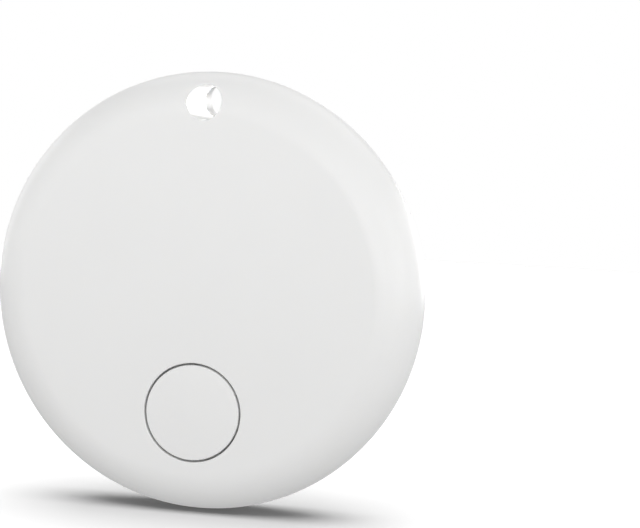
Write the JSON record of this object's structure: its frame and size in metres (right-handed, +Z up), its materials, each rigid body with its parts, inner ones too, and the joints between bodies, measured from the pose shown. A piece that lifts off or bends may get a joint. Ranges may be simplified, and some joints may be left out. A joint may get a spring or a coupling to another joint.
{
  "type": "bluetooth tracker tag",
  "caption": "Round white tracker tag with rounded rim, key ring hole, flush push button, pull-off rear cover, coin cell, circuit board and piezo buzzer.",
  "frame": {"origin": "centre of the key ring hole, halfway through the case", "axes": "+Z up through the key ring hole as the tag hangs, front face towards -Y, rear cover pulls off along +Y"},
  "size_m": [0.038, 0.008, 0.038],
  "materials": {
    "case_plastic": "smooth white moulded plastic, satin gloss",
    "button_plastic": "the same white as the case",
    "frame_plastic": "fine matt texture, near black",
    "seal_rubber": "blue silicone rubber",
    "board_laminate": "green solder mask over glass laminate",
    "chip_resin": "black moulding resin",
    "coil_ferrite": "dark grey ferrite",
    "crystal_steel": "nickel plated lid",
    "contact_nickel": "nickel plated spring sheet",
    "cell_steel": "nickel plated steel, turned finish",
    "cell_gasket": "natural nylon",
    "cell_core": "pressed powder and foil",
    "screw_steel": "steel with a cross slot",
    "switch_steel": "thin steel sheet",
    "switch_plastic": "black moulded base",
    "plunger_plastic": "off white nylon",
    "buzzer_brass": "rolled sheet",
    "piezo_ceramic": "fired piezo ceramic",
    "antenna_ceramic": "white fired ceramic",
    "capacitor_ceramic": "brown fired ceramic",
    "adhesive_film": "amber adhesive film"
  },
  "bodies": {
    "case": {"front_shell": "case_plastic", "mid_frame": "frame_plastic", "seal_ring": "seal_rubber", "frame_screw_1": "screw_steel", "frame_screw_2": "screw_steel", "frame_screw_3": "screw_steel", "circuit_board": "board_laminate", "radio_chip": "chip_resin", "main_crystal": "crystal_steel", "clock_crystal": "crystal_steel", "antenna_chip": "antenna_ceramic", "antenna_coil": "capacitor_ceramic", "motion_sensor": "chip_resin", "buzzer_coil": "coil_ferrite", "supply_capacitor": "capacitor_ceramic", "radio_capacitor": "capacitor_ceramic", "crystal_capacitor": "capacitor_ceramic", "buzzer_capacitor": "capacitor_ceramic", "negative_contact": "contact_nickel", "positive_contact": "contact_nickel", "buzzer_spring_inner": "contact_nickel", "buzzer_spring_outer": "contact_nickel", "buzzer_adhesive": "adhesive_film", "buzzer_plate": "buzzer_brass", "buzzer_ceramic": "piezo_ceramic", "switch_body": "switch_plastic", "switch_cover_plate": "switch_steel", "switch_dome": "switch_steel"},
    "button": {"button_cap": "button_plastic"},
    "plunger": {"switch_plunger": "plunger_plastic"},
    "cover": {"rear_cover": "case_plastic"},
    "cell": {"coin_cell_can": "cell_steel", "coin_cell_cap": "cell_steel", "coin_cell_gasket": "cell_gasket", "coin_cell_core": "cell_core"}
  },
  "joints": [
    {"name": "button_press", "type": "slide", "parent": "case", "child": "button", "axis": [0, 1, 0], "range_m": [0, 0.0002], "stiffness_N_per_m": 8000},
    {"name": "plunger_press", "type": "slide", "parent": "case", "child": "plunger", "axis": [0, 1, 0], "range_m": [0, 0.0002]},
    {"name": "cover_lift", "type": "slide", "parent": "case", "child": "cover", "axis": [0, 1, 0], "range_m": [0, 0.024]},
    {"name": "cell_lift", "type": "slide", "parent": "case", "child": "cell", "axis": [0, 1, 0], "range_m": [0, 0.012]}
  ],
  "couplings": [
    {"joint": "plunger_press", "follows": "button_press", "ratio": 1},
    {"joint": "cell_lift", "follows": "cover_lift", "ratio": 0.5}
  ]
}
